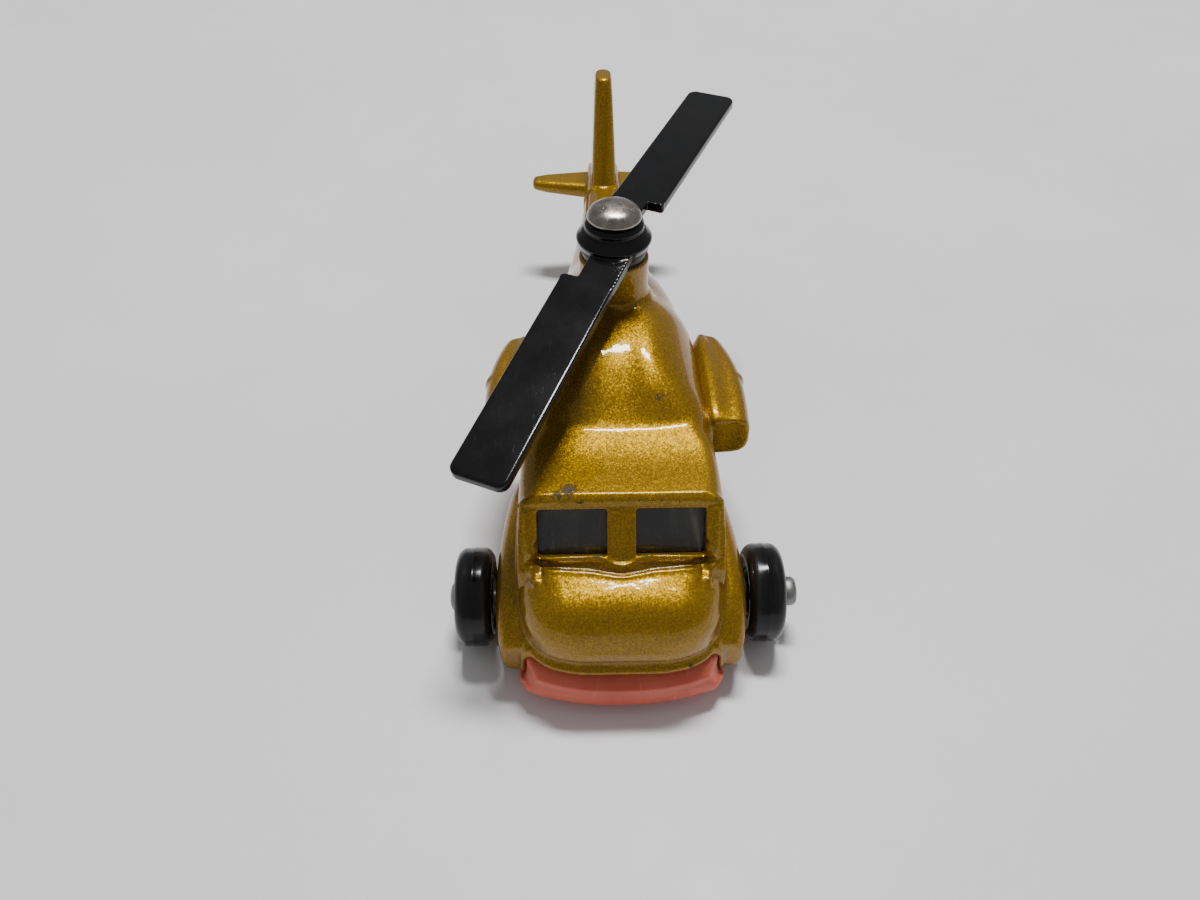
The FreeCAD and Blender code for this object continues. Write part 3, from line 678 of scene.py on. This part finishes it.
def true_blades(points):
    """Moves the vertices of both blades onto their exact outline, clear of the hub and the notches."""
    foot = np.array((0.0, -4.9, 26.625))
    tiny = 1e-3
    for yaw, droop in ((155.5, 12.5), (-24.5, -3.5)):
        turn = Matrix.Rotation(math.radians(yaw), 3, "Z") @ Matrix.Rotation(math.radians(-droop), 3, "X")
        axes = np.array(turn)
        local = (points - foot) @ axes
        near = (np.abs(local[:, 0]) < 3.2) * (np.abs(local[:, 2]) < 1.6)
        share = np.clip((local[:, 1] - 6.3) / 0.5, 0, 1) * near
        for _ in range(3):
            gap = blade_gap(local)
            slope = np.stack([(blade_gap(local + step) - gap) / tiny for step in np.eye(3) * tiny], axis=1)
            slope /= np.maximum(np.linalg.norm(slope, axis=1), 1e-6)[:, None]
            local = local - (share * gap)[:, None] * slope
        points = local @ axes.T + foot
    return points


def make_rotor():
    """The one-piece rotor: hub with a rolled flange and grooves, and two notched blades."""
    item = remeshed("rotor_moulding", "rotor", ROTOR_BLACK, 0.09, 10)
    mast = middle("rotor_rivet") / MM
    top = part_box("rotor")[1][2] / MM
    work = Sculpt(item)
    out = work.start[:, :2] - (mast[0], mast[1])
    radius = np.linalg.norm(out, axis=1)
    below = top - work.start[:, 2]
    hub = (radius < 3.9) * (radius > 1.9)
    bulge = np.zeros(len(radius))
    for depth, height, width in ((1.9, 0.16, 0.32), (1.05, -0.16, 0.20),
                                 (0.62, 0.10, 0.18), (2.75, -0.12, 0.22)):
        bulge += height * np.exp(-((below - depth) / width) ** 2)
    work.change[:, :2] += (hub * bulge / np.maximum(radius, 0.1))[:, None] * out
    work.soften(hub * 0.9, 5)
    work.change = true_blades(work.start + work.change) - work.start
    work.apply()
    finish_wear(item.data, 0.05, 0.12)
    return finished(item, "rotor", "rotor")


def make_wheel(side):
    """A glossy wheel with rounded shoulders, a fine moulding line round its tread and a dished face."""
    node = side + "_wheel"
    low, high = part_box(node)
    half = (high[0] - low[0]) / 2 / MM
    radius = (high[2] - low[2]) / 2 / MM
    out = 1 if side == "right" else -1
    bore, hub, dish = 0.74, 1.75, radius - 1.25
    profile = [(bore, half - 0.05), (hub - 0.15, half - 0.02), (hub, half - 0.15), (hub + 0.12, half - 0.42)]
    profile += [(dish - 0.25, half - 0.50), (dish, half - 0.40), (dish + 0.18, half - 0.06)]
    profile += arc((radius - 0.95, half - 0.95), 0.95, 78, 4, 9)
    profile += [(radius, 0.16), (radius + 0.035, 0.06), (radius + 0.035, -0.06), (radius, -0.16)]
    profile += arc((radius - 0.95, 0.95 - half), 0.95, -4, -86, 9)
    profile += [(dish + 0.1, -half), (dish - 0.1, 0.25 - half), (hub + 0.3, 0.35 - half), (hub, -half + 0.02),
                (bore, -half + 0.04), (bore, half - 0.05)]
    profile = [(r, out * h) for r, h in profile]
    item = lathe(side + "_tyre", profile, middle(node), "X", WHEEL_BLACK, 128)
    finish_wear(item.data, 0.03, 0.12)
    return finished(item, node, node)


def make_axle():
    """The steel wire axle with its swaged heads, slightly domed and not quite round."""
    low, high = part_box("front_axle")
    start, end = low[0] / MM, high[0] / MM
    head = (high[2] - low[2]) / 2 / MM
    profile = [(0, start)]
    profile += [(0.45 * head, start + 0.05), (0.8 * head, start + 0.16), (head, start + 0.40),
                (head, start + 0.52), (0.9 * head, start + 0.66), (0.65, start + 0.68)]
    profile += [(0.65, x) for x in np.linspace(start + 0.9, end - 1.6, 25)]
    profile += [(0.65, end - 1.32), (0.9 * head, end - 1.30), (head, end - 1.15), (head, end - 0.45),
                (0.85 * head, end - 0.17), (0.5 * head, end - 0.04), (0, end)]
    centre = middle("front_axle")
    item = lathe("axle_wire", profile, (0, centre[1], centre[2]), "X", STEEL, 48)
    points = positions(item.data)
    angle = np.arctan2(points[:, 2] - centre[2], points[:, 1] - centre[1])
    far = np.clip((np.abs(points[:, 0]) / MM - min(-start, end) + 1.0) / 0.5, 0, 1)
    swell = 1 - far * 0.035 * (1 + np.cos(3 * angle + 0.7))
    points[:, 1] = centre[1] + (points[:, 1] - centre[1]) * swell
    points[:, 2] = centre[2] + (points[:, 2] - centre[2]) * swell
    set_positions(item.data, points)
    finish_wear(item.data, 0.05, 0.2)
    return finished(item, "axle", "front_axle")


def make_rivet():
    """The domed nickel rivet, its rim rolled and its shank down the mast."""
    low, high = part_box("rotor_rivet")
    top, radius = high[2] / MM, (high[0] - low[0]) / 2 / MM
    under = top - 1.38
    shank = 1.15
    profile = [(0, low[2] / MM), (shank, low[2] / MM), (shank, under), (radius - 0.25, under)]
    profile += arc((radius - 0.26, under + 0.26), 0.26, -90, 40, 7)
    profile += [(radius * 0.90, top - 0.60), (radius * 0.78, top - 0.36), (radius * 0.60, top - 0.17),
                (radius * 0.38, top - 0.06), (radius * 0.18, top - 0.01), (0, top)]
    centre = middle("rotor_rivet")
    item = lathe("rotor_rivet_head", profile, (centre[0], centre[1], 0), "Z", NICKEL)
    finish_wear(item.data, 0.05, 0.2)
    return finished(item, "airframe", "rotor_rivet")


# ---- stage -------------------------------------------------------------------------------------

CAMERA_TURN = {"pitch": 44.51, "roll": 0.13, "yaw": 1.35}   # degrees, pitch below the horizon
CAMERA_EYE = (-2.99, -79.44, 73.29)                         # millimetres
CAMERA_LENS = 28.2
TABLE_HALF = 1.6                                            # metres
LAMP = {"place": (0.035, 0.20, 0.66), "size": (0.22, 0.07), "watts": 5.3}
ROOM_COLOUR, ROOM_LIGHT = (0.86, 0.87, 0.90, 1), 0.35


def make_camera():
    """The view from in front and above, looking down at about 44 degrees."""
    pitch, roll, yaw = (math.radians(CAMERA_TURN[key]) for key in ("pitch", "roll", "yaw"))
    eye = Vector(CAMERA_EYE) * MM
    forward = Vector((0, math.cos(pitch), -math.sin(pitch)))
    right = Vector((1, 0, 0))
    up = right.cross(forward)
    basis = Matrix((right, up, -forward)).transposed()
    data = bpy.data.cameras.new("photo_camera")
    data.lens = CAMERA_LENS
    data.sensor_width = 36
    data.clip_start = 0.005
    camera = bpy.data.objects.new("photo_camera", data)
    turned = Matrix.Rotation(-yaw, 3, "Z") @ basis @ Matrix.Rotation(roll, 3, "Z")
    camera.matrix_world = Matrix.Translation(eye) @ turned.to_4x4()
    bpy.context.scene.collection.objects.link(camera)
    bpy.context.scene.camera = camera


def make_lamp():
    """One softbox over the tail, aimed at the toy."""
    data = bpy.data.lights.new("overhead", "AREA")
    data.shape = "RECTANGLE"
    data.size, data.size_y = LAMP["size"]
    data.energy = LAMP["watts"]
    item = bpy.data.objects.new("overhead", data)
    item.location = LAMP["place"]
    item.rotation_euler = (-Vector(LAMP["place"])).to_track_quat("-Z", "Y").to_euler()
    bpy.context.scene.collection.objects.link(item)


def make_stage():
    """A plain pale table in an even pale room, under the softbox."""
    bm = bmesh.new()
    corners = ((-1, -1), (1, -1), (1, 1), (-1, 1))
    bm.faces.new([bm.verts.new((x * TABLE_HALF, y * TABLE_HALF, 0)) for x, y in corners])
    new_object("table", bm, table_top())
    make_lamp()
    world = bpy.data.worlds.new("studio")
    world.use_nodes = True
    background = world.node_tree.nodes["Background"]
    background.inputs["Color"].default_value = ROOM_COLOUR
    background.inputs["Strength"].default_value = ROOM_LIGHT
    bpy.context.scene.world = world


make_camera()
make_stage()
make_casting()
make_base()
make_rotor()
make_soft_copy("cabin_seats", "cabin_interior", CABIN, "airframe", 0.15, (0.05, 0.2))
make_soft_copy("tail_tyre", "tail_wheel", WHEEL_BLACK, "tail_wheel", 0.08, (0.03, 0.1))
make_rivet()
make_axle()
for side in ("left", "right"):
    make_wheel(side)
for node, material in (("window_glazing", GLASS), ("tail_wheel_pin", STEEL)):
    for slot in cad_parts[node].material_slots:
        slot.material = material
